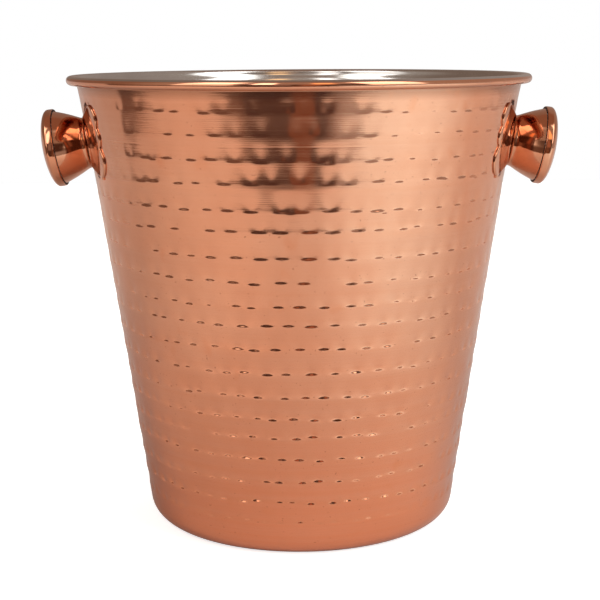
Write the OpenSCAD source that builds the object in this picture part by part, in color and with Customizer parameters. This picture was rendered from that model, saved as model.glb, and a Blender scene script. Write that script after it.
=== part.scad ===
// Hammered ice bucket with two fixed side knobs.
// Origin: centre of the base, on the surface the bucket stands on. +Z up, knobs along +X and -X.

/* [Bucket] */
// Outside diameter of the rim bead
rim_d = 216; // [190:1:240]
// Height from the base to the crown of the rim
height = 211.4; // [190:0.1:230]
// Lean of the straight part of the wall from the vertical, in degrees
wall_lean = 8.25; // [6:0.05:9]
// Thickness of the sheet
sheet_t = 0.8; // [0.6:0.1:1.2]
// Radius of the rounded corner between wall and base
corner_r = 11; // [6:0.5:14]
// Radius of the rolled bead's cross-section
bead_r = 2.1; // [1.8:0.1:3]
// How far the bead stands out from the wall under it
bead_stand = 4.8; // [4.4:0.1:6]
// Extra outward sweep of the wall just under the bead
flare = 1.0; // [0:0.1:2]
// Height of the flared stretch under the bead
flare_h = 42; // [20:1:60]
// Height of the raised panel in the middle of the base
panel_rise = 1.5; // [0.5:0.1:3]
// Width of the flat ring the bucket stands on
ring_w = 7; // [4:0.5:12]

/* [Knob] */
// Height at which the knobs' axes meet the wall
knob_z = 180.1; // [150:0.5:184]
// Radius of the knob's narrow end
neck_r = 11.9; // [10:0.1:14]
// Length of the straight collar at the narrow end
collar_l = 1.7; // [1:0.1:3]
// Length of the cone, from its narrow end to the seam with the cap
cone_l = 14.3; // [10:0.1:18]
// Radius of the cone at the seam
seam_r = 17.2; // [15:0.1:18]
// Outward crown of the cone between collar and seam
cone_crown = 0.3; // [0:0.05:0.6]
// Largest radius of the cap
cap_r = 18.3; // [17.5:0.1:21]
// Length of the cap's rolled edge, from the seam to its largest radius
roll_l = 2.3; // [2:0.1:4]
// Height of the cap's dome beyond its largest radius
dome_h = 4.7; // [3:0.1:8]
// Thickness of the spun sheet
spun_t = 0.6; // [0.6:0.1:1]

/* [Escutcheon] */
// Thickness of the plate
plate_t = 0.8; // [0.6:0.1:1.2]
// Radius of the flat pad under the knob
seat_r = 9; // [8:0.1:11]
// Height of the pad's face above the wall
seat_h = 0.9; // [0.9:0.05:1.6]
// Half the height of the plate at its waist
waist_h = 11; // [9:0.1:12]
// Half the height of the plate at its corners
tip_h = 17; // [14:0.1:19]
// Distance of the corners from the middle of the plate
tip_y = 41; // [34:0.5:42]
// How far the plate's middle sits above the knob's axis
plate_rise = 1.2; // [0:0.1:2]
// Heights of the three lobes on each end
lobe_x = [10.8, 2.2, -8.4]; // [-12:0.1:12]
// Radii of the three lobes
lobe_r = [6.6, 6.6, 8.2]; // [5:0.1:9]
// Reach of the lobes beyond the middle of the plate
lobe_reach = 46.5; // [44:0.1:48]

/* [Fastening] */
// Radius of the screw's shank
screw_r = 2.5; // [2:0.1:3]
// Radius of the screw's head
head_r = 4.75; // [4.5:0.05:6]
// Height of the screw's head
head_h = 3.1; // [2:0.1:4]
// Radius of the hole through wall and plate
hole_r = 2.8; // [2.7:0.05:3.3]
// Radius of the flat washer
washer_r = 6; // [5.5:0.1:7.5]
// Thickness of the flat washer
washer_t = 1; // [0.8:0.1:1.4]
// Thickness of the spring washer's wire
lock_t = 1.2; // [1:0.1:1.5]
// Width of the spring washer's wire
lock_w = 1.9; // [1.5:0.1:2]
// Radius of the rubber washer
seal_r = 6.6; // [6:0.1:8]
// Thickness of the rubber washer at the screw
seal_t = 1.4; // [1:0.1:2]
// Radius of the threaded bush in the knob's neck
bush_r = 5.5; // [4.5:0.1:7]
// Radius of the bush's shoulder
shoulder_r = 7.5; // [7:0.1:9]
// Length of the bush
bush_l = 10; // [8:0.5:12]

/* [Hidden] */

$fn = 96;
// Steps round the wall, whose curve other parts lie against
wall_fn = 360;

satin_copper = "#cf8a68";
polished_copper = "#b5673f";
black = "#1c1b1b";
brass = "#c9a14a";
steel = "#c4c6c8";

left = -1;
right = 1;

// Clearance between parts that lie on each other
gap = 0.05;
// Overshoot of cutting tools
over = 1;
// Steps along curved profiles
arc_steps = 12;
wall_steps = 28;

// The wall's outline

rim_r = rim_d / 2;
curl_x = rim_r - bead_r;
curl_z = height - bead_r;
// Where the bead's curl stops short of the wall, in degrees round its centre
curl_end = 213;
wall_top_z = height - 2 * bead_r;
flare_z = wall_top_z - flare_h;
foot_r = rim_r - bead_stand - flare - wall_top_z * tan(wall_lean);

// Radius of the wall's outer face at height z
function wall_r(z) =
    foot_r + z * tan(wall_lean) + flare * pow(max(0, z - flare_z) / flare_h, 2);
// Lean of the wall at height z
function lean_at(z) =
    atan(tan(wall_lean) + 2 * flare * max(0, z - flare_z) / pow(flare_h, 2));
// Point on the wall's face, t inside its outer face
function wall_point(z, t) = [wall_r(z) - t / cos(lean_at(z)), z];

corner_x = wall_r(corner_r) - corner_r / cos(wall_lean);
corner_top_z = corner_r * (1 - sin(wall_lean));
panel_r = corner_x - ring_w - 2 * panel_rise;

// Points round the bottom corner, t inside the outer face
function corner_arc(t) = [for (i = [0:arc_steps])
    let (a = -90 + (90 - wall_lean) * i / arc_steps)
    [corner_x, corner_r] + (corner_r - t) * [cos(a), sin(a)]];
// Points up the wall, t inside the outer face
function wall_line(t) = [for (i = [1:wall_steps])
    wall_point(corner_top_z + (wall_top_z - corner_top_z) * i / wall_steps, t)];
// Points across the base, t above its under side
function base_line(t) = [[0, panel_rise + t],
                         [panel_r, panel_rise + t],
                         [corner_x - ring_w, t]];
// The whole face, from the middle of the base to the side of the bead
function face(t) = concat(base_line(t), corner_arc(t), wall_line(t),
                          [[curl_x - bead_r + sheet_t - t, curl_z]]);
// A list in the opposite order
function reversed(list) = [for (i = [len(list) - 1:-1:0]) list[i]];

module sheet_section() {
    polygon(concat(face(0), reversed(face(sheet_t))));
}

module curl_section() {
    translate([curl_x, curl_z])
        difference() {
            circle(r = bead_r);
            circle(r = bead_r - sheet_t);
            polygon([[0, 0], [-2 * bead_r, 0], 2 * bead_r * [cos(curl_end), sin(curl_end)]]);
        }
}

// Everything inside the wall's outer face, moved out by t, over the knob's height
module wall_core(t) {
    low = knob_z - 2 * tip_h;
    step = (wall_top_z - low) / wall_steps;
    rotate_extrude($fn = wall_fn)
        polygon(concat([[0, low]],
                       [for (i = [0:wall_steps]) wall_point(low + i * step, -t)],
                       [[0, wall_top_z]]));
}

// The knob's own frame: +Z outward along its axis, +X down the wall, origin on the wall

knob_tilt = lean_at(knob_z);

module at_knob() {
    translate([wall_r(knob_z), 0, knob_z])
        rotate([0, 90 + knob_tilt, 0])
            children();
}

module off_knob() {
    rotate([0, -90 - knob_tilt, 0])
        translate([-wall_r(knob_z), 0, -knob_z])
            children();
}

// A knob part on the right, or its mirror image on the left
module on_side(side) {
    mirror([side == left ? 1 : 0, 0, 0])
        at_knob()
            children();
}

// A flat ring, from z up by t
module ring(outer, inner, z, t) {
    translate([0, 0, z])
        difference() {
            cylinder(r = outer, h = t);
            translate([0, 0, -over])
                cylinder(r = inner, h = t + 2 * over);
        }
}

// Distances along the knob's axis from the wall's outer face

neck_z = seat_h + gap;
seam_z = neck_z + cone_l;
rim_z = seam_z + roll_l;
inner_z = -sheet_t - gap;
washer_z = inner_z - seal_t - gap - washer_t;
lock_z = washer_z - gap - lock_t;
head_z = lock_z - gap;
screw_end_z = neck_z + bush_l + over;

module bucket_shell() {
    color(satin_copper)
        difference() {
            rotate_extrude($fn = wall_fn) {
                sheet_section();
                curl_section();
            }
            for (side = [left, right])
                on_side(side)
                    translate([0, 0, inner_z - over])
                        cylinder(r = hole_r, h = sheet_t + seat_h + 2 * over);
        }
}

// Half the plate's height at distance y from its middle
function plate_half(y) = waist_h + (tip_h - waist_h) * pow(abs(y) / tip_y, 3);
plate_ys = [for (i = [-arc_steps:arc_steps]) tip_y * i / arc_steps];

// The plate's outline in the knob's frame, where +X is down
module plate_outline() {
    translate([-plate_rise, 0]) {
        polygon(concat([for (y = plate_ys) [-plate_half(y), y]],
                       [for (y = reversed(plate_ys)) [plate_half(y), y]]));
        for (side = [left, right])
            for (i = [0:2])
                translate([-lobe_x[i], side * (lobe_reach - lobe_r[i])])
                    circle(r = lobe_r[i]);
    }
}

module escutcheon(side) {
    // How far the plate's blank reaches on both sides of the wall's middle line
    skirt = tip_h;
    color(polished_copper)
        on_side(side)
            difference() {
                union() {
                    intersection() {
                        translate([0, 0, -skirt])
                            linear_extrude(height = 2 * skirt)
                                plate_outline();
                        off_knob()
                            wall_core(gap + plate_t);
                    }
                    translate([0, 0, -skirt])
                        cylinder(r = seat_r, h = skirt + seat_h);
                }
                off_knob()
                    wall_core(gap);
                translate([0, 0, -over])
                    cylinder(r = hole_r, h = seat_h + 2 * over);
            }
}

// Radius of the cone's outer face at fraction f of the way from collar to seam
function cone_r(f) = neck_r + (seam_r - neck_r) * f + cone_crown * sin(180 * f);
// The cone's outer face, t inside, from its collar to its seam
function cone_face(t) = concat(
    [[neck_r - t, neck_z + t], [neck_r - t, neck_z + collar_l]],
    [for (i = [1:arc_steps])
        [cone_r(i / arc_steps) - t, neck_z + collar_l + (cone_l - collar_l) * i / arc_steps]]);

// The lip that the cap is rolled over
lip_w = 0.3;
lip_r = seam_r + lip_w;

module knob_cone(side) {
    color(polished_copper)
        on_side(side)
            rotate_extrude()
                polygon(concat([[bush_r + gap, neck_z]],
                               cone_face(0),
                               [[lip_r, seam_z], [lip_r, seam_z + spun_t], [seam_r - spun_t, seam_z + spun_t]],
                               reversed(cone_face(spun_t)),
                               [[bush_r + gap, neck_z + spun_t]]));
}

// The cap's face, t inside: its edge, the rolled quarter, then the elliptical dome
function cap_face(t) = concat(
    [for (i = [0:arc_steps])
        let (a = 90 * i / arc_steps)
        [lip_r + spun_t + gap - t + (cap_r - lip_r - spun_t - gap) * sin(a), rim_z - roll_l * cos(a)]],
    [for (i = [1:arc_steps])
        let (a = 90 * i / arc_steps)
        [(cap_r - t) * cos(a), rim_z + (dome_h - t) * sin(a)]]);

module knob_cap(side) {
    color(polished_copper)
        on_side(side)
            rotate_extrude()
                polygon(concat(cap_face(0), reversed(cap_face(spun_t))));
}

module knob_bush(side) {
    // The inner face of the neck, which the shoulder bears on
    floor_z = neck_z + spun_t + gap;
    color(brass)
        on_side(side)
            difference() {
                union() {
                    translate([0, 0, neck_z])
                        cylinder(r = bush_r, h = bush_l);
                    translate([0, 0, floor_z])
                        cylinder(r = shoulder_r, h = bush_l / 3);
                }
                translate([0, 0, neck_z - over])
                    cylinder(r = screw_r + gap, h = bush_l + 2 * over);
            }
}

module knob_screw(side) {
    // The cross recess
    slot_w = 1.2;
    slot_l = 5.2;
    slot_d = 1.6;
    // Height of the head's bevelled end
    dome = head_h / 3;
    color(steel)
        on_side(side)
            difference() {
                union() {
                    translate([0, 0, head_z - head_h + dome])
                        cylinder(r = head_r, h = head_h - dome);
                    translate([0, 0, head_z - head_h])
                        cylinder(r1 = head_r - dome, r2 = head_r, h = dome);
                    translate([0, 0, head_z - over])
                        cylinder(r = screw_r, h = screw_end_z - head_z + over);
                }
                for (turn = [0, 90])
                    rotate([0, 0, turn])
                        translate([-slot_l / 2, -slot_w / 2, head_z - head_h - over])
                            cube([slot_l, slot_w, slot_d + over]);
            }
}

module lock_washer(side) {
    // The gap between the spring's ends
    split_w = 0.8;
    color(steel)
        on_side(side)
            difference() {
                ring(screw_r + gap + lock_w, screw_r + gap, lock_z, lock_t);
                translate([0, -split_w / 2, lock_z - over])
                    cube([2 * head_r, split_w, lock_t + 2 * over]);
            }
}

module flat_washer(side) {
    color(steel)
        on_side(side)
            ring(washer_r, screw_r + 2 * gap, washer_z, washer_t);
}

// The rubber is pressed to the curve of the wall
module seal_washer(side) {
    base_z = washer_z + washer_t + gap;
    color(black)
        on_side(side)
            intersection() {
                ring(seal_r, screw_r + gap, base_z, 2 * seal_t);
                off_knob()
                    wall_core(inner_z);
            }
}

bucket_shell();
escutcheon(left);  // escutcheon_left
escutcheon(right);  // escutcheon_right
knob_cone(left);  // knob_cone_left
knob_cone(right);  // knob_cone_right
knob_cap(left);  // knob_cap_left
knob_cap(right);  // knob_cap_right
knob_bush(left);  // knob_bush_left
knob_bush(right);  // knob_bush_right
knob_screw(left);  // knob_screw_left
knob_screw(right);  // knob_screw_right
lock_washer(left);  // lock_washer_left
lock_washer(right);  // lock_washer_right
flat_washer(left);  // flat_washer_left
flat_washer(right);  // flat_washer_right
seal_washer(left);  // seal_washer_left
seal_washer(right);  // seal_washer_right
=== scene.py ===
"""Looks of a hammered copper ice bucket with two knobs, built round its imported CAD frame.

Lengths are in millimetres up to the point where a mesh is made, and in metres in Blender.
"""

import math
import random

import bmesh
import bpy
import numpy as np
from mathutils import Matrix, Vector


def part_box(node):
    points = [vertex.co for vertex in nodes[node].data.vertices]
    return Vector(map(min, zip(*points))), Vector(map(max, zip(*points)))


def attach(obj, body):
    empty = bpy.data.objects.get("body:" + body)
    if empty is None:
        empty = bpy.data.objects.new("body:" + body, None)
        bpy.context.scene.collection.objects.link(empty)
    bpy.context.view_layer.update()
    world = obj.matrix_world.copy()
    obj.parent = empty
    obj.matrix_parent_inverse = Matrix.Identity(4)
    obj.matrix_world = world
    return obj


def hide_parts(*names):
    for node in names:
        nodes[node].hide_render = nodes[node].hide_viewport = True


MM = 0.001
SIDES = {"left": -1, "right": 1}

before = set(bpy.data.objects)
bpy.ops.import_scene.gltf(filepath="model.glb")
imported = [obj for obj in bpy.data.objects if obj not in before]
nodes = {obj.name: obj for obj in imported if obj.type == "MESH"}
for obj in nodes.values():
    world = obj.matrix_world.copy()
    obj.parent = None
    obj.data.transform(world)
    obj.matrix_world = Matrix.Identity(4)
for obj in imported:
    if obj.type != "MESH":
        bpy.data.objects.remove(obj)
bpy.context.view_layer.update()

# ---------------------------------------------------------------- the wall's outline, as in the CAD

shell_low, shell_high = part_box("bucket_shell")
HEIGHT = shell_high.z / MM
RIM_R = 108.0
WALL_LEAN = math.radians(8.25)
SHEET_T = 0.8
CORNER_R = 11.0
BEAD_R = 2.1
BEAD_STAND = 4.8
FLARE = 1.0
FLARE_H = 42.0
PANEL_RISE = 1.5
RING_W = 7.0

# The bead's centre, and the angle at which its curl ends in the groove beside the wall
CURL_X = RIM_R - BEAD_R
CURL_Z = HEIGHT - BEAD_R
CURL_END = math.radians(213)
WALL_TOP = HEIGHT - 2 * BEAD_R
FLARE_Z = WALL_TOP - FLARE_H
FOOT_R = RIM_R - BEAD_STAND - FLARE - WALL_TOP * math.tan(WALL_LEAN)


def wall_radius(z):
    """Radius of the wall's outer face at height z."""
    sweep = np.maximum(0, np.asarray(z, float) - FLARE_Z) / FLARE_H
    return FOOT_R + z * math.tan(WALL_LEAN) + FLARE * sweep**2


def wall_lean(z):
    """Angle of the wall from the vertical at height z."""
    sweep = np.maximum(0, np.asarray(z, float) - FLARE_Z) / FLARE_H
    return np.arctan(math.tan(WALL_LEAN) + 2 * FLARE * sweep / FLARE_H)


CORNER_X = float(wall_radius(CORNER_R)) - CORNER_R / math.cos(WALL_LEAN)
CORNER_TOP = CORNER_R * (1 - math.sin(WALL_LEAN))
PANEL_R = CORNER_X - RING_W - 2 * PANEL_RISE

# ---------------------------------------------------------------- the knob's own frame

KNOB_Z = 180.1
KNOB_TILT = float(wall_lean(KNOB_Z))


def knob_axes(side):
    """Origin on the wall, and the directions down the wall, along +Y and outward, of one knob."""
    sign = SIDES[side]
    origin = np.array([sign * float(wall_radius(KNOB_Z)), 0.0, KNOB_Z])
    down = np.array([-sign * math.sin(KNOB_TILT), 0.0, -math.cos(KNOB_TILT)])
    out = np.array([sign * math.cos(KNOB_TILT), 0.0, -math.sin(KNOB_TILT)])
    return origin, down, np.array([0.0, 1.0, 0.0]), out


def from_knob(side, points):
    """Points given in a knob's frame (down, along Y, outward), in the bucket's frame."""
    origin, down, along, out = knob_axes(side)
    points = np.asarray(points, float)
    return origin + points[:, :1] * down + points[:, 1:2] * along + points[:, 2:3] * out


# ---------------------------------------------------------------- mesh helpers


def make_piece(name, points, faces, materials, replaced, face_materials=None, sharp=40):
    """One object from points in millimetres, riding on the root in place of its CAD node, if it has one."""
    mesh = bpy.data.meshes.new(name)
    mesh.from_pydata((np.asarray(points) * MM).tolist(), [], [tuple(f) for f in faces])
    for material in materials:
        mesh.materials.append(material)
    if face_materials is not None:
        mesh.polygons.foreach_set("material_index", np.asarray(face_materials, np.int32))
    work = bmesh.new()
    work.from_mesh(mesh)
    bmesh.ops.remove_doubles(work, verts=work.verts, dist=1e-6)
    bmesh.ops.recalc_face_normals(work, faces=work.faces)
    work.to_mesh(mesh)
    work.free()
    mesh.polygons.foreach_set("use_smooth", [True] * len(mesh.polygons))
    mesh.set_sharp_from_angle(angle=math.radians(sharp))
    piece = bpy.data.objects.new(name, mesh)
    bpy.context.scene.collection.objects.link(piece)
    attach(piece, "root")
    if replaced:
        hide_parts(replaced)


def grid_faces(rows, columns, wrap_rows=False):
    """Quads of a grid whose columns close into a ring, and whose rows do too if wrap_rows is set."""
    faces = []
    for i in range(rows if wrap_rows else rows - 1):
        a, b = i * columns, ((i + 1) % rows) * columns
        faces += [(a + j, a + (j + 1) % columns, b + (j + 1) % columns, b + j) for j in range(columns)]
    return faces


def arc(centre, radius, start, end, steps):
    """Points along an arc, in the plane of a profile, from angle start to angle end."""
    angles = np.linspace(start, end, steps + 1)
    return np.stack([centre[0] + radius * np.cos(angles), centre[1] + radius * np.sin(angles)], 1)


def spun(profile, segments):
    """Points of a profile (radius, height) turned round the height axis, closing on itself."""
    turn = 2 * np.pi * np.arange(segments) / segments
    profile = np.asarray(profile, float)
    ring = np.stack([np.cos(turn), np.sin(turn)], 1)
    flat = profile[:, None, :1] * ring[None]
    high = np.broadcast_to(profile[:, None, 1:2], (len(profile), segments, 1))
    return np.concatenate([flat, high], 2).reshape(-1, 3)


# ---------------------------------------------------------------- materials


class Graph:
    """A short way to write a material's or the world's nodes."""

    def __init__(self, owner):
        owner.use_nodes = True
        self.tree = owner.node_tree
        self.tree.nodes.clear()

    def add(self, kind, inputs=None, **settings):
        """A node, with its settings, and with each input linked to a socket or set to a value."""
        node = self.tree.nodes.new(kind)
        for key, value in settings.items():
            setattr(node, key, value)
        for key, value in (inputs or {}).items():
            if isinstance(value, bpy.types.NodeSocket):
                self.tree.links.new(value, node.inputs[key])
            else:
                node.inputs[key].default_value = value
        return node

    def streaks(self, scale, detail=3.0, rough=0.6):
        """Noise from 0 to 1. A large Z scale draws it out round the bucket, as brushing does."""
        place = self.add("ShaderNodeTexCoord").outputs["Object"]
        mapped = self.add("ShaderNodeMapping", {"Vector": place, "Scale": scale})
        noise = self.add(
            "ShaderNodeTexNoise",
            {"Vector": mapped.outputs[0], "Scale": 1.0, "Detail": detail, "Roughness": rough},
        )
        return noise.outputs["Fac"]

    def spread(self, value, low, high, to_low=0.0, to_high=1.0):
        """value's stretch from low to high, spread over to_low to to_high."""
        node = self.add(
            "ShaderNodeMapRange",
            {"Value": value, "From Min": low, "From Max": high, "To Min": to_low, "To Max": to_high},
        )
        return node.outputs["Result"]

    def mix(self, factor, a, b):
        """The colour between a, at factor 0, and b, at factor 1."""
        node = self.add("ShaderNodeMix", data_type="RGBA", blend_type="MIX")
        for index, value in ((0, factor), (6, a), (7, b)):
            if isinstance(value, bpy.types.NodeSocket):
                self.tree.links.new(value, node.inputs[index])
            else:
                node.inputs[index].default_value = value
        return node.outputs[2]

    def times(self, a, b):
        """The product of two values."""
        return self.add("ShaderNodeMath", {0: a, 1: b}, operation="MULTIPLY").outputs[0]

    def bump(self, height, distance, normal=None):
        """The normal of a surface that rises by distance metres where height is 1."""
        inputs = {"Height": height, "Distance": distance, "Strength": 1.0}
        if normal is not None:
            inputs["Normal"] = normal
        return self.add("ShaderNodeBump", inputs).outputs["Normal"]

    def finish(self, kind, shader):
        """The output node, with the shader on it."""
        out = self.add(kind)
        self.tree.links.new(shader.outputs[0], out.inputs[0])


# Heights on the wall where the copper's tone changes, in metres: the warm foot, and the painted shade under
# the bead
FOOT_WARMTH_TOP = 0.11
SHADE_LOW = (WALL_TOP - 4.7) * MM
SHADE_FULL = (WALL_TOP - 0.6) * MM
SHADE_FADE = (WALL_TOP + 0.2) * MM
SHADE_END = (WALL_TOP + 1.2) * MM


def satin_copper():
    """Copper plate brushed round the bucket, under thin lacquer: warm at the foot, with painted shade below
    the bead.
    """
    material = bpy.data.materials.new("satin_copper")
    g = Graph(material)
    fine = g.streaks((9, 9, 2600), detail=4)
    broad = g.streaks((5, 5, 420), detail=3)
    cloud = g.streaks((22, 22, 22), detail=5, rough=0.62)
    stain = g.streaks((70, 70, 55), detail=2)
    specks = g.streaks((900, 900, 900), detail=1)
    place = g.add("ShaderNodeTexCoord").outputs["Object"]
    height = g.add("ShaderNodeSeparateXYZ", {"Vector": place}).outputs["Z"]
    tone = g.mix(g.spread(cloud, 0.36, 0.64), (0.825, 0.375, 0.215, 1), (0.865, 0.43, 0.26, 1))
    tone = g.mix(g.spread(height, 0.0, FOOT_WARMTH_TOP, 0.85, 0.0), tone, (0.88, 0.32, 0.155, 1))
    # Painted shade under the bead: a dark band over the wall's last few millimetres, fading out on the curl
    below = g.spread(height, SHADE_LOW, SHADE_FULL)
    above = g.spread(height, SHADE_FADE, SHADE_END, 0.8, 0.0)
    tone = g.mix(g.times(below, above), tone, (0.36, 0.17, 0.10, 1))
    tone = g.mix(g.spread(broad, 0.38, 0.66, 0, 0.15), tone, (0.87, 0.49, 0.33, 1))
    tone = g.mix(g.spread(fine, 0.3, 0.7, 0.0, 0.14), tone, (0.66, 0.27, 0.14, 1))
    tone = g.mix(g.spread(stain, 0.64, 0.74, 0, 0.35), tone, (0.80, 0.29, 0.13, 1))
    tone = g.mix(g.spread(specks, 0.73, 0.78, 0, 0.6), tone, (0.30, 0.12, 0.06, 1))
    rough = g.add(
        "ShaderNodeMath",
        {0: g.spread(broad, 0.35, 0.65, 0.065, 0.09), 1: g.spread(fine, 0.3, 0.7, -0.01, 0.02)},
        operation="ADD",
    ).outputs[0]
    normal = g.bump(fine, 0.000010)
    normal = g.bump(broad, 0.000008, normal=normal)
    tangent = g.add("ShaderNodeTangent", direction_type="RADIAL", axis="Z").outputs[0]
    shader = g.add(
        "ShaderNodeBsdfPrincipled",
        {
            "Base Color": tone,
            "Metallic": 1.0,
            "Roughness": rough,
            "Normal": normal,
            "Tangent": tangent,
            "Anisotropic": 0.6,
            "Anisotropic Rotation": 0.25,
            "Coat Weight": 0.4,
            "Coat Roughness": 0.4,
            "Coat IOR": 1.5,
        },
    )
    g.finish("ShaderNodeOutputMaterial", shader)
    return material


def polished_copper():
    """Bright copper plate on the knobs and plates, with faint polishing marks."""
    material = bpy.data.materials.new("polished_copper")
    g = Graph(material)
    swirl = g.streaks((260, 260, 900), detail=5)
    cloud = g.streaks((60, 60, 60), detail=4)
    tone = g.mix(g.spread(cloud, 0.36, 0.64), (0.72, 0.32, 0.18, 1), (0.77, 0.37, 0.215, 1))
    tone = g.mix(g.spread(swirl, 0.62, 0.78, 0, 0.4), tone, (0.5, 0.24, 0.14, 1))
    rough = g.spread(swirl, 0.3, 0.7, 0.045, 0.10)
    shader = g.add(
        "ShaderNodeBsdfPrincipled",
        {
            "Base Color": tone,
            "Metallic": 1.0,
            "Roughness": rough,
            "Normal": g.bump(swirl, 0.000008),
            "Coat Weight": 0.3,
            "Coat Roughness": 0.04,
        },
    )
    g.finish("ShaderNodeOutputMaterial", shader)
    return material


def bright_steel(name, low, high, scale):
    """Stainless steel, brushed round the Z axis."""
    material = bpy.data.materials.new(name)
    g = Graph(material)
    fine = g.streaks(scale, detail=4)
    cloud = g.streaks((40, 40, 40), detail=4)
    tone = g.mix(g.spread(cloud, 0.36, 0.64), (0.62, 0.61, 0.59, 1), (0.70, 0.69, 0.67, 1))
    tone = g.mix(g.spread(fine, 0.35, 0.7, 0, 0.3), tone, (0.48, 0.47, 0.46, 1))
    shader = g.add(
        "ShaderNodeBsdfPrincipled",
        {
            "Base Color": tone,
            "Metallic": 1.0,
            "Roughness": g.spread(fine, 0.3, 0.7, low, high),
            "Normal": g.bump(fine, 0.00001),
        },
    )
    g.finish("ShaderNodeOutputMaterial", shader)
    return material


def dull(name, dark, light, rough, grain, metallic):
    """A matt surface, or a soft metal's, with a fine grain."""
    material = bpy.data.materials.new(name)
    g = Graph(material)
    noise = g.streaks((grain, grain, grain), detail=4)
    shader = g.add(
        "ShaderNodeBsdfPrincipled",
        {
            "Base Color": g.mix(g.spread(noise, 0.35, 0.65), dark, light),
            "Metallic": metallic,
            "Roughness": g.spread(noise, 0.3, 0.7, rough - 0.08, rough + 0.08),
            "Normal": g.bump(noise, 0.00003),
        },
    )
    g.finish("ShaderNodeOutputMaterial", shader)
    return material


def seam_shade():
    """Near-black painted shade for the seam where the cap's edge closes over the cone's lip."""
    material = bpy.data.materials.new("painted_seam_shade")
    g = Graph(material)
    grit = g.streaks((900, 900, 900), detail=3)
    shader = g.add(
        "ShaderNodeBsdfPrincipled",
        {
            "Base Color": g.mix(g.spread(grit, 0.52, 0.66), (0.012, 0.008, 0.007, 1), (0.30, 0.24, 0.22, 1)),
            "Roughness": g.spread(grit, 0.3, 0.7, 0.5, 0.8),
            "Normal": g.bump(grit, 0.00005),
        },
    )
    g.finish("ShaderNodeOutputMaterial", shader)
    return material


SATIN = satin_copper()
POLISHED = polished_copper()
# Near-black painted shade for the knobs' seams, standing in for the shadow in the gap
SEAM_SHADE = seam_shade()
LINING = bright_steel("bright_lining", 0.10, 0.20, (9, 9, 2200))
FASTENER = bright_steel("fastener_steel", 0.14, 0.24, (500, 500, 500))
RUBBER = dull("black_rubber", (0.012, 0.012, 0.013, 1), (0.03, 0.03, 0.03, 1), 0.6, 2500, 0.0)
BRASS = dull("turned_brass", (0.62, 0.42, 0.16, 1), (0.72, 0.52, 0.22, 1), 0.25, 900, 1.0)

# ---------------------------------------------------------------- the hammered bucket

# The sheet's grid: two outer columns meet each inner one at the rim
INNER_COLUMNS = 560
COLUMNS = 2 * INNER_COLUMNS
WALL_ROWS = 720
INNER_ROWS = 150
# The rows of blows, from the top one down
ROW_TOP = 199.0
ROW_PITCH = 10.1
ROW_COUNT = 19
DENTS_A_ROW = 57
# The shares of places where a blow is missed or falls twice, and the second blow's size and force
MISSED_SHARE = 0.03
DOUBLE_SHARE = 0.04
SECOND_SIZE = 0.8
SECOND_FORCE = 0.75
# Blows are larger near the foot, and lighter in the stiff band under the rim
FOOT_SIZE = 1.7
TOP_SIZE = 1.05
FORCE_HEIGHTS = (0, 172, 187)
FORCES = (1.6, 1.05, 0.6)
# Each blow's slanting scoop: its depth, reach below and above, and half width, which grows upward
SCOOP_DEPTH = 0.15
SCOOP_LOW = 0.95
SCOOP_HIGH = 9.5
SCOOP_SIDE = 2.0
SCOOP_SPREAD = 0.3
# The round bowl in each scoop, deepest at the foot
BOWL_R = 2.4
BOWL_DEPTH = 0.16
BOWL_TOP = 150.0
# The shallow furrow that a row of blows leaves
FURROW_R = 9.5
FURROW_LOW = 1.1
FURROW_HIGH = 9.5
FURROW_DEPTH = 0.027
# The line scored round the wall, and the waves of the beaten sheet
SCORE_Z = 184.2
SCORE_HALF_W = 0.5
SCORE_DEPTH = 0.012
WAVE_COUNT = 14
# How far above the corner and below the bead the beating starts
CALM_FOOT = 12.0
CALM_TOP = 5.0
# The back of the sheet follows the blows more softly
INNER_SOFTNESS = 0.8
# The share of the bead's curl that shows copper, and the tiny hole at the axis that a cover closes
COPPER_SHARE = 0.57
HUB_R = 0.2


def hammer_blows():
    """Every blow as (angle, height, size, force): rows that wander a little, with uneven spacing."""
    dice = random.Random(11)
    blows = []
    for i in range(ROW_COUNT):
        z = ROW_TOP - ROW_PITCH * i + dice.uniform(-0.5, 0.5)
        count = DENTS_A_ROW + dice.randint(-1, 1)
        phase = dice.uniform(0, 2 * math.pi)
        drift = dice.uniform(0, 2 * math.pi)
        for k in range(count):
            if dice.random() < MISSED_SHARE:
                continue
            angle = phase + 2 * math.pi * (k + dice.uniform(-0.2, 0.2)) / count
            height = z + 0.8 * math.sin(angle + drift) + dice.uniform(-0.5, 0.5)
            size = dice.uniform(0.85, 1.12) * (FOOT_SIZE + (TOP_SIZE - FOOT_SIZE) * z / ROW_TOP)
            force = dice.uniform(0.75, 1.12) * float(np.interp(z, FORCE_HEIGHTS, FORCES))
            blows.append((angle, height, size, force))
            if dice.random() < DOUBLE_SHARE:
                turn = dice.uniform(2.2, 4.0) / float(wall_radius(z))
                blows.append((angle + turn, height - dice.uniform(0.4, 1.5), SECOND_SIZE, SECOND_FORCE))
    return blows


def ease(x):
    """A smooth step from 0 to 1 as x goes from 0 to 1."""
    x = np.clip(x, 0, 1)
    return x * x * (3 - 2 * x)


def scoop(across, up, size, soft):
    """Depth, from 0 to 1, of one slanting blow: a short steep lower lip and a long shallow upper side."""
    side = size * (SCOOP_SIDE + soft + SCOOP_SPREAD * np.clip(up, 0, 8))
    low = size * (SCOOP_LOW + soft)
    lip = np.clip(1 - (np.minimum(up, 0) / low) ** 2, 0, 1)
    tail = 1 - ease(up / SCOOP_HIGH)
    return lip * tail * np.exp(-((across / side) ** 2))


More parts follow.
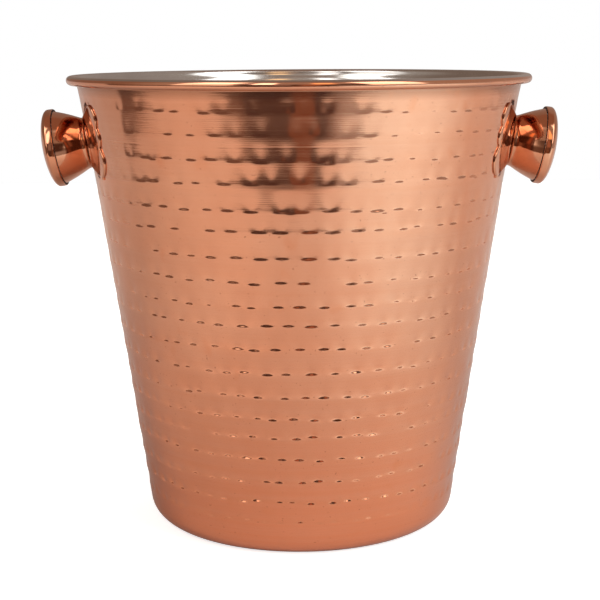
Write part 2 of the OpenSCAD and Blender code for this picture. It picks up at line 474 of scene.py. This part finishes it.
def hammered(heights, columns, blows, soft):
    """How far the wall stands in: for each blow a slanting scoop, in a furrow shared with its neighbours."""
    out = np.zeros((len(heights), columns))
    step = 2 * np.pi / columns
    reach = 1.15 * SCOOP_HIGH
    for angle, height, size, force in blows:
        r = float(wall_radius(height))
        rows = np.where(np.abs(heights - height) < reach)[0]
        if len(rows) == 0:
            continue
        half = int(FURROW_R / r / step) + 1
        middle = round(angle / step)
        span = np.arange(middle - half, middle + half + 1)
        across = (r * (span * step - angle))[None, :]
        up = ((heights[rows] - height) / math.cos(WALL_LEAN))[:, None]
        wide = np.clip(1 - (across / FURROW_R) ** 2, 0, 1) ** 1.3
        fall = ease((up + FURROW_LOW) / (2 * FURROW_LOW))
        rise = ease((up - FURROW_LOW) / (FURROW_HIGH - FURROW_LOW))
        furrow = FURROW_DEPTH * wide * fall * (1 - rise)
        dent = SCOOP_DEPTH * size * scoop(across, up, size, soft)
        dish = np.clip(1 - (across**2 + up**2) / BOWL_R**2, 0, 1) ** 2
        bowl = BOWL_DEPTH * max(0, 1 - height / BOWL_TOP) * dish
        out[np.ix_(rows, span % columns)] -= force * (furrow + dent + bowl)
    return out


def unevenness(heights, columns):
    """The slow waves that a beaten sheet keeps."""
    dice = random.Random(5)
    angle = 2 * np.pi * np.arange(columns)[None, :] / columns
    out = np.zeros((len(heights), columns))
    for _ in range(WAVE_COUNT):
        lobes = dice.randint(3, 16)
        rise = dice.uniform(-0.16, 0.16)
        start = dice.uniform(0, 2 * math.pi)
        out += dice.uniform(0.004, 0.012) * np.sin(lobes * angle + rise * heights[:, None] + start)
    return out


def bend(start, end, start_slope, end_slope, steps):
    """A smooth curve between two profile points with the given slopes, without its end points."""
    t = np.linspace(0, 1, steps + 2)[1:-1, None]
    start, end = np.asarray(start, float), np.asarray(end, float)
    return (
        (2 * t**3 - 3 * t**2 + 1) * start
        + (t**3 - 2 * t**2 + t) * np.asarray(start_slope)
        + (3 * t**2 - 2 * t**3) * end
        + (t**3 - t**2) * np.asarray(end_slope)
    )


def skin(profile, push, columns):
    """Points of a turned profile whose wall is pushed in or out across its own lean."""
    turn = 2 * np.pi * np.arange(columns) / columns
    radius = profile[:, :1] + push * math.cos(WALL_LEAN)
    height = profile[:, 1:2] - push * math.sin(WALL_LEAN)
    return np.stack([radius * np.cos(turn), radius * np.sin(turn), height], 2).reshape(-1, 3)


def relief(stretches, at, heights, columns, blows, soft):
    """The push of every profile row, where only the stretch at index `at` is hammered."""
    starts = np.cumsum([0] + [len(s) for s in stretches])
    push = np.zeros((starts[-1], columns))
    above_foot = np.clip((heights - CORNER_TOP) / CALM_FOOT, 0, 1)
    below_top = np.clip((WALL_TOP - heights) / CALM_TOP, 0, 1)
    wall = hammered(heights, columns, blows, soft)
    wall -= SCORE_DEPTH * np.clip(1 - np.abs(heights - SCORE_Z) / SCORE_HALF_W, 0, 1)[:, None]
    wall += unevenness(heights, columns)
    push[starts[at] : starts[at + 1]] = wall * (above_foot * below_top)[:, None]
    return push


def bucket():
    """The drawn, hammered sheet, from under its base, up and over the bead, and down inside."""
    blows = hammer_blows()
    up_z = np.linspace(CORNER_TOP, WALL_TOP - 0.6, WALL_ROWS)
    down_z = np.linspace(WALL_TOP - 1.2, CORNER_TOP, INNER_ROWS)
    groove_x = CURL_X + BEAD_R * math.cos(CURL_END)
    bead = arc((CURL_X, CURL_Z), BEAD_R, CURL_END - 2 * np.pi, np.pi, 34)
    inner_top = (float(wall_radius(down_z[0])) - SHEET_T, down_z[0])
    slope = math.tan(float(wall_lean(WALL_TOP)))
    outside = [
        [(r, PANEL_RISE) for r in np.linspace(HUB_R, PANEL_R, 10)],
        [(CORNER_X - RING_W, 0.0), (CORNER_X - RING_W / 2, 0.0)],
        arc((CORNER_X, CORNER_R), CORNER_R, -np.pi / 2, -WALL_LEAN, 24)[:-1],
        np.stack([wall_radius(up_z), up_z], 1),
        [
            (float(wall_radius(WALL_TOP)) + 0.05, WALL_TOP + 0.3),
            (groove_x - 0.1, CURL_Z + BEAD_R * math.sin(CURL_END) + 0.35),
        ],
        bead,
    ]
    inside = [
        bend(bead[-1], inner_top, (0, -2.6), (-2.6 * slope, -2.6), 5),
        np.stack([wall_radius(down_z) - SHEET_T / math.cos(WALL_LEAN), down_z], 1),
        arc((CORNER_X, CORNER_R), CORNER_R - SHEET_T, -WALL_LEAN, -np.pi / 2, 12)[1:],
        [(CORNER_X - RING_W, SHEET_T)],
        [(r, PANEL_RISE + SHEET_T) for r in np.linspace(PANEL_R, HUB_R, 10)],
    ]
    outer = skin(
        np.concatenate([np.asarray(s, float) for s in outside]),
        relief(outside, 3, up_z, COLUMNS, blows, 0.0),
        COLUMNS,
    )
    inner = skin(
        np.concatenate([np.asarray(s, float) for s in inside]),
        relief(inside, 1, down_z, INNER_COLUMNS, blows, INNER_SOFTNESS),
        INNER_COLUMNS,
    )
    outer_rows, inner_rows = len(outer) // COLUMNS, len(inner) // INNER_COLUMNS
    faces = grid_faces(outer_rows, COLUMNS)
    crown_row = outer_rows - len(bead) + int(COPPER_SHARE * len(bead))
    paint = [int(i >= crown_row) for i in range(outer_rows - 1) for _ in range(COLUMNS)]
    rim = (outer_rows - 1) * COLUMNS
    first_inner = outer_rows * COLUMNS
    last_inner = first_inner + (inner_rows - 1) * INNER_COLUMNS
    for j in range(INNER_COLUMNS):
        inner_pair = (first_inner + (j + 1) % INNER_COLUMNS, first_inner + j)
        faces.append((rim + 2 * j, rim + 2 * j + 1, rim + (2 * j + 2) % COLUMNS, *inner_pair))
    faces += [tuple(first_inner + v for v in f) for f in grid_faces(inner_rows, INNER_COLUMNS)]
    under_cover = tuple(range(COLUMNS))[::-1]
    floor_cover = tuple(range(last_inner, last_inner + INNER_COLUMNS))
    faces += [under_cover, floor_cover]
    paint += [1] * (len(faces) - len(paint) - 2) + [0, 1]
    make_piece(
        "bucket_sheet",
        np.concatenate([outer, inner]),
        faces,
        [SATIN, LINING],
        "bucket_shell",
        paint,
        sharp=60,
    )


bucket()

# ---------------------------------------------------------------- knobs

NECK_R = 11.9
COLLAR_L = 1.7
CONE_L = 14.3
SEAM_R = 17.2
CONE_CROWN = 0.3
CAP_R = 18.3
ROLL_L = 2.3
DOME_H = 4.7
SPUN_T = 0.6
GAP = 0.05
SEAT_H = 0.9
LIP_R = SEAM_R + 0.3
NECK_ROUND = 0.7
NECK_HOLE = 5.6
AXIS_R = 0.001
NECK_Z = SEAT_H + GAP
SEAM_Z = NECK_Z + CONE_L
WIDEST_Z = SEAM_Z + ROLL_L
KNOB_SEGMENTS = 144


def turned_piece(name, side, profile, replaced, dark=()):
    """A piece turned about the knob's axis, with painted seam shade on the profile's stretches listed in
    dark.
    """
    points = from_knob(side, spun(profile, KNOB_SEGMENTS))
    faces = grid_faces(len(profile), KNOB_SEGMENTS, wrap_rows=True)
    paint = [int(i in dark) for i in range(len(profile)) for _ in range(KNOB_SEGMENTS)]
    make_piece(name, points, faces, [POLISHED, SEAM_SHADE], replaced, paint)


def cone_radius(f):
    """The cone's outer radius at fraction f of the way from collar to seam."""
    return NECK_R + (SEAM_R - NECK_R) * f + CONE_CROWN * np.sin(np.pi * f)


def knob_cone(side):
    """The spun cone, with a soft collar at its neck, and at its seam a lip that the cap closes over."""
    f = np.linspace(0, 1, 25)
    outer_z = NECK_Z + COLLAR_L + (CONE_L - COLLAR_L) * f
    outer = np.stack([cone_radius(f), outer_z], 1)
    inner = np.stack([cone_radius(f) - SPUN_T, outer_z], 1)[::-1]
    collar = arc((NECK_R - NECK_ROUND, NECK_Z + NECK_ROUND), NECK_ROUND, -np.pi / 2, 0, 6)
    waist = bend(collar[-1], outer[2], (0, 2.0), (0.9, 1.9), 5)
    profile = np.concatenate(
        [
            [(NECK_HOLE, NECK_Z), (NECK_HOLE + 0.4, NECK_Z)],
            collar,
            waist,
            outer[2:],
            [(LIP_R, SEAM_Z), (LIP_R, SEAM_Z + SPUN_T), (SEAM_R - SPUN_T, SEAM_Z + SPUN_T)],
            inner,
            [(NECK_R - SPUN_T, NECK_Z + SPUN_T), (NECK_HOLE, NECK_Z + SPUN_T)],
        ]
    )
    lip_row = len(collar) + len(waist) + len(outer)
    # The lip's two rows at the seam take the painted seam shade
    seam = (lip_row - 2, lip_row - 1)
    turned_piece(f"cone_{side}", side, profile, f"knob_cone_{side}", dark=seam)


def knob_cap(side):
    """The domed cap, whose rounded edge closes over the cone's lip."""
    edge_r = LIP_R + SPUN_T + GAP
    quarter = np.linspace(0, np.pi / 2, 17)
    roll = np.stack(
        [edge_r + (CAP_R - edge_r) * np.sin(quarter) ** 0.8, WIDEST_Z - ROLL_L * np.cos(quarter)], 1
    )
    dome_turn = np.linspace(0, np.pi / 2, 41)[1:]
    dome = np.stack([CAP_R * np.cos(dome_turn), WIDEST_Z + DOME_H * np.sin(dome_turn)], 1)
    dome[-1, 0] = AXIS_R
    shell = np.concatenate([roll, dome])
    inside_roll = np.stack([roll[:, 0] - SPUN_T, roll[:, 1]], 1)
    inside_dome = np.stack(
        [(CAP_R - SPUN_T) * np.cos(dome_turn), WIDEST_Z + (DOME_H - SPUN_T) * np.sin(dome_turn)], 1
    )
    inside_dome[-1, 0] = AXIS_R
    inside = np.concatenate([inside_roll, inside_dome])[::-1]
    crimp = arc((edge_r - SPUN_T / 2, SEAM_Z), SPUN_T / 2, -np.pi, 0, 6)[1:-1]
    profile = np.concatenate([crimp, shell, inside])
    # The cap's crimped edge takes the painted seam shade
    turned_piece(f"cap_{side}", side, profile, f"knob_cap_{side}", dark=range(3))


for side in SIDES:
    knob_cone(side)
    knob_cap(side)

# ---------------------------------------------------------------- escutcheons

PLATE_T = 0.8
WAIST_H = 11.0
TIP_H = 17.0
TIP_Y = 41.0
PLATE_RISE = 1.2
# The three lobes at each end: their heights, radii and common reach, and the point that they fan out from
LOBE_UP = (10.8, 2.2, -8.4)
LOBE_R = (6.6, 6.6, 8.2)
LOBE_REACH = 46.5
SPINE_Y = 36.0
# The plate's rounded edge, and the flutes that start where the plate leaves the knob
EDGE_ROUND = 0.8
EDGE_SHARE = 0.35
FLUTE_START = 20.0
FLUTE_RUN = 18.0
FLUTE_RISE = 0.12
FLUTE_INSET = 6.0
# A flute starts at this share of its lobe's height, reaches it at FLUTE_Y, and is narrower than the lobe
FLUTE_NEAR = 0.35
FLUTE_Y = 40.0
FLUTE_WIDTH = 0.78
# The round seat under the knob
SEAT_R = 9.0
SEAT_HOLE = 3.0
SEAT_BACK = 0.2
SEAT_ROUND = 0.35


def plate_edge(steps):
    """The outline of one end of the plate, from the middle of its top edge round to the bottom one."""
    y = np.linspace(0, TIP_Y, steps)
    half = WAIST_H + (TIP_H - WAIST_H) * (y / TIP_Y) ** 3
    top = np.stack([half, y], 1)
    bottom = np.stack([-half, y], 1)[::-1]
    end = []
    for turn in np.linspace(np.radians(72), np.radians(-72), 2 * steps):
        reach = 0.0
        way = np.array([math.sin(turn), math.cos(turn)])
        for up, r in zip(LOBE_UP, LOBE_R):
            centre = np.array([up, LOBE_REACH - r - SPINE_Y])
            along = centre @ way
            off = centre @ centre - along**2
            if off < r * r:
                reach = max(reach, along + math.sqrt(r * r - off))
        point = way * reach + np.array([0, SPINE_Y])
        if abs(point[0]) < TIP_H and point[1] > TIP_Y:
            end.append(point)
    return np.concatenate([top, end, bottom])


def on_wall(side, down, along, lift):
    """Points of a knob's frame, moved out or in to stand lift outside the wall, in the bucket's frame."""
    out = np.zeros(len(down))
    for _ in range(12):
        p = from_knob(side, np.stack([down, along, out], 1))
        miss = np.hypot(p[:, 0], p[:, 1]) - wall_radius(p[:, 2])
        out = out - miss / np.cos(KNOB_TILT)
    p = from_knob(side, np.stack([down, along, out], 1))
    turn = np.arctan2(p[:, 1], p[:, 0])
    lean = wall_lean(p[:, 2])
    normal = np.stack([np.cos(turn) * np.cos(lean), np.sin(turn) * np.cos(lean), -np.sin(lean)], 1)
    return p + lift[:, None] * normal


def plate_relief(up, y, inward):
    """Height of the plate's face: a rounded edge, and flutes that run out along the lobes."""
    edge = np.sqrt(1 - np.clip(1 - inward / EDGE_ROUND, 0, 1) ** 2)
    face = PLATE_T * (EDGE_SHARE + (1 - EDGE_SHARE) * edge)
    ridge = np.zeros(len(up))
    for lobe, r in zip(LOBE_UP, LOBE_R):
        at = lobe * (FLUTE_NEAR + (1 - FLUTE_NEAR) * np.clip(np.abs(y) / FLUTE_Y, 0, 1.1))
        ridge = np.maximum(ridge, np.clip(1 - ((up - at) / (FLUTE_WIDTH * r)) ** 2, 0, 1))
    outward = ease((np.abs(y) - FLUTE_START) / FLUTE_RUN)
    return face + FLUTE_RISE * outward * ridge * ease(inward / FLUTE_INSET)


def escutcheon(side):
    """The saddle plate with its fluted ends, and the round seat under the knob."""
    half = plate_edge(40)
    other = np.stack([half[::-1, 0], -half[::-1, 1]], 1)
    outline = np.concatenate([half, other[1:-1]])
    spine = np.stack([np.zeros(len(outline)), np.clip(outline[:, 1], -SPINE_Y, SPINE_Y)], 1)
    reach = np.linalg.norm(outline - spine, axis=1)
    # Rings from the spine out to the edge, closer together where the edge rounds over
    shares = np.concatenate([np.linspace(0.001, 0.9, 22), [0.94, 0.965, 0.98, 0.99, 1.0]])
    top = [spine + (outline - spine) * s for s in shares]
    back = [spine + (outline - spine) * s for s in (1.0, 0.6, 0.001)]
    points, lift = [], []
    for s, ring in zip(shares, top):
        points.append(ring)
        lift.append(GAP + plate_relief(ring[:, 0], ring[:, 1], reach * (1 - s)))
    for ring in back:
        points.append(ring)
        lift.append(np.full(len(ring), GAP))
    points, lift = np.concatenate(points), np.concatenate(lift)
    world = on_wall(side, -(points[:, 0] + PLATE_RISE), points[:, 1], lift)
    faces = grid_faces(len(shares) + len(back), len(outline))
    make_piece(f"plate_{side}", world, faces, [POLISHED], f"escutcheon_{side}", sharp=50)
    edge = arc((SEAT_R - SEAT_ROUND, SEAT_H - SEAT_ROUND), SEAT_ROUND, 0, np.pi / 2, 6)
    profile = np.concatenate([[(SEAT_HOLE, SEAT_BACK), (SEAT_R, SEAT_BACK)], edge, [(SEAT_HOLE, SEAT_H)]])
    turned_piece(f"seat_{side}", side, profile, None)


for side in SIDES:
    escutcheon(side)

# ---------------------------------------------------------------- fasteners


def dress(node_name, material):
    """A CAD node keeps its shape and takes a material."""
    node = nodes[node_name]
    node.data.materials.clear()
    node.data.materials.append(material)


for side in SIDES:
    for part, material in (
        ("knob_screw", FASTENER),
        ("knob_bush", BRASS),
        ("lock_washer", FASTENER),
        ("flat_washer", FASTENER),
        ("seal_washer", RUBBER),
    ):
        dress(f"{part}_{side}", material)

# ---------------------------------------------------------------- studio

FLOOR_LEFT = -0.72
FLOOR_RIGHT = 0.95
FLOOR_FRONT = -0.475
FLOOR_BACK = 1.6


def floor():
    """A white table, lifted to white for the camera. The copper sees its front lit and the rest in shade."""
    mesh = bpy.data.meshes.new("table")
    corners = [
        (FLOOR_LEFT, FLOOR_FRONT + 0.03, 0),
        (FLOOR_RIGHT, FLOOR_FRONT - 0.05, 0),
        (FLOOR_RIGHT, FLOOR_BACK, 0),
        (FLOOR_LEFT, FLOOR_BACK, 0),
    ]
    mesh.from_pydata(corners, [], [(0, 1, 2, 3)])
    material = bpy.data.materials.new("white_table")
    g = Graph(material)
    grain = g.streaks((300, 300, 300), detail=3)
    place = g.add("ShaderNodeTexCoord").outputs["Object"]
    axes = g.add("ShaderNodeSeparateXYZ", {"Vector": place}).outputs
    across = g.spread(axes["X"], -0.05, 0.3)
    # Painted light on the front of the floor, paler and bluer to the right
    front = g.mix(across, (0.70, 0.65, 0.62, 1), (0.74, 0.87, 0.94, 1))
    inward = g.add("ShaderNodeMath", {0: axes["X"]}, operation="ABSOLUTE").outputs[0]
    # A painted shadow down the middle of the front
    front = g.mix(g.spread(inward, 0.2, 0.04, 0, 0.7), front, (0.55, 0.52, 0.51, 1))
    # Painted shade beside and behind the bucket, lighter further away
    beside = g.mix(across, (0.43, 0.39, 0.38, 1), (0.46, 0.43, 0.42, 1))
    away = g.add("ShaderNodeVectorMath", {0: place}, operation="LENGTH").outputs["Value"]
    shade = g.mix(g.spread(away, 0.35, 0.95), beside, (0.66, 0.62, 0.60, 1))
    tone = g.mix(g.spread(axes["Y"], -0.3, 0.08), front, shade)
    # Painted light on the floor just in front of the bucket
    near = g.times(g.spread(away, 0.18, 0.1, 0, 0.25), g.spread(axes["Y"], 0.02, -0.08))
    tone = g.mix(near, tone, (0.88, 0.80, 0.78, 1))
    tone = g.mix(g.spread(grain, 0.3, 0.7, 0, 0.08), tone, (0.5, 0.5, 0.5, 1))
    camera_ray = g.add("ShaderNodeLightPath").outputs["Is Camera Ray"]
    tone = g.mix(camera_ray, tone, (0.66, 0.66, 0.66, 1))
    shader = g.add("ShaderNodeBsdfDiffuse", {"Color": tone})
    glow = g.add("ShaderNodeEmission", {"Color": (1, 1, 1, 1), "Strength": g.times(camera_ray, 0.75)})
    both = g.add("ShaderNodeAddShader", {0: shader.outputs[0], 1: glow.outputs[0]})
    g.finish("ShaderNodeOutputMaterial", both)
    mesh.materials.append(material)
    table = bpy.data.objects.new("table", mesh)
    bpy.context.scene.collection.objects.link(table)


def softbox(name, place, target, size, radiance, colour):
    """A rectangular light that neither the camera nor a reflection sees."""
    light = bpy.data.lights.new(name, "AREA")
    light.shape = "RECTANGLE"
    light.size, light.size_y = size
    light.energy = radiance * math.pi * size[0] * size[1]
    light.color = colour
    lamp = bpy.data.objects.new(name, light)
    lamp.location = place
    lamp.rotation_euler = (Vector(target) - Vector(place)).to_track_quat("-Z", "Y").to_euler()
    lamp.visible_camera = False
    lamp.visible_glossy = False
    bpy.context.scene.collection.objects.link(lamp)


# Patches of the room, each a colour, a range of turns from the front in degrees, a range of heights on the
# unit sphere, and how soft its ends are in both. Later ones cover earlier ones.
BOX_PATCHES = (
    ((1.5, 1.4, 1.32), (-62, -32), (0.05, 0.84), 3, 0.04),
    ((2.3, 2.25, 2.2), (32, 62), (0.06, 0.84), 3, 0.04),
    ((3.3, 3.15, 3.0), (-64, -34), (0.58, 0.86), 3, 0.04),
    ((3.2, 3.15, 3.1), (34, 64), (0.58, 0.86), 3, 0.04),
)
FRONT_PATCHES = (
    ((0.08, 0.045, 0.033), (14, 33), (-0.1, 0.34), 2, 0.05),
    ((0.085, 0.05, 0.038), (-29, 15), (-2, 0.34), 4, 0.05),
    ((0.30, 0.23, 0.21), (-12, -4), (-0.05, 0.32), 1.5, 0.06),
    ((0.20, 0.095, 0.056), (-4, 8), (-2, -0.05), 2, 0.12),
    ((0.42, 0.20, 0.13), (1, 11), (-0.05, 0.32), 1.5, 0.06),
    ((2.8, 2.6, 2.5), (-23, -12), (0.30, 0.80), 1, 0.04),
    ((1.7, 1.0, 0.5), (7, 18), (0.36, 0.74), 1.5, 0.05),
)


def studio_world():
    """White to the camera. To the copper, a dim room with bright boxes at the front sides, dark between."""
    world = bpy.data.worlds.new("studio")
    bpy.context.scene.world = world
    g = Graph(world)
    way = g.add("ShaderNodeTexCoord").outputs["Generated"]
    axes = g.add("ShaderNodeSeparateXYZ", {"Vector": way}).outputs
    front = g.times(axes["Y"], -1.0)
    turn = g.add("ShaderNodeMath", {0: axes["X"], 1: front}, operation="ARCTAN2").outputs[0]

    def fade(value, start, end, first=0.0, last=1.0):
        node = g.add(
            "ShaderNodeMapRange",
            {"Value": value, "From Min": start, "From Max": end, "To Min": first, "To Max": last},
            interpolation_type="SMOOTHSTEP",
        )
        return node.outputs["Result"]

    def between(value, start, end, soft):
        return g.times(fade(value, start - soft, start + soft), fade(value, end - soft, end + soft, 1, 0))

    deg = math.radians

    def patch(room, colour, turns, heights, soft_turn, soft_height):
        there = between(turn, deg(turns[0]), deg(turns[1]), deg(soft_turn))
        return g.mix(g.times(there, between(axes["Z"], *heights, soft_height)), room, (*colour, 1))

    sides = g.mix(fade(axes["X"], -0.4, 0.4), (0.25, 0.17, 0.13, 1), (0.38, 0.30, 0.26, 1))
    room = g.mix(fade(front, -0.2, 0.35), sides, (0.40, 0.32, 0.27, 1))
    room = g.mix(fade(axes["Z"], 0.82, 0.93), room, (0.30, 0.17, 0.12, 1))
    for settings in BOX_PATCHES:
        room = patch(room, *settings)
    skirting = g.mix(fade(turn, deg(12), deg(25)), (0.17, 0.11, 0.085, 1), (0.40, 0.38, 0.38, 1))
    low = g.times(fade(axes["Z"], -0.07, 0.04, 1, 0), fade(front, -0.45, -0.3))
    room = g.mix(low, room, skirting)
    behind = g.times(fade(axes["Z"], -0.03, 0.05, 1, 0), fade(front, -0.3, -0.22, 1, 0))
    room = g.mix(behind, room, (0.55, 0.46, 0.42, 1))
    for settings in FRONT_PATCHES:
        room = patch(room, *settings)
    camera_ray = g.add("ShaderNodeLightPath").outputs["Is Camera Ray"]
    seen = g.mix(camera_ray, room, (1, 1, 1, 1))
    back = g.add("ShaderNodeBackground", {"Color": seen, "Strength": 1.0})
    g.finish("ShaderNodeOutputWorld", back)


floor()
softbox("left_softbox", (-0.85, -0.75, 0.65), (0, 0, 0.1), (0.6, 0.9), 1.05, (1, 0.80, 0.70))
softbox("right_softbox", (0.88, -0.76, 0.62), (0.1, 0, 0), (0.6, 0.9), 4.5, (0.92, 0.98, 1))
softbox("top_softbox", (0.3, 0.2, 1.3), (0, 0, 0), (1.2, 0.9), 2.8, (1, 0.95, 0.92))
studio_world()

# ---------------------------------------------------------------- camera

CAMERA_PLACE = (-0.00016, -0.6677, 0.2268)
CAMERA_PITCH = math.radians(10.46)
CAMERA_ROLL = math.radians(-0.34)
CAMERA_LENS = 84.4

camera = bpy.data.objects.new("camera", bpy.data.cameras.new("camera"))
camera.data.lens = CAMERA_LENS
camera.data.sensor_width = 36
camera.data.clip_start = 0.01
camera.matrix_world = (
    Matrix.Translation(CAMERA_PLACE)
    @ Matrix.Rotation(math.pi / 2 - CAMERA_PITCH, 4, "X")
    @ Matrix.Rotation(CAMERA_ROLL, 4, "Z")
)
bpy.context.scene.collection.objects.link(camera)
bpy.context.scene.camera = camera
bpy.context.scene.view_settings.view_transform = "Standard"

bpy.context.view_layer.update()
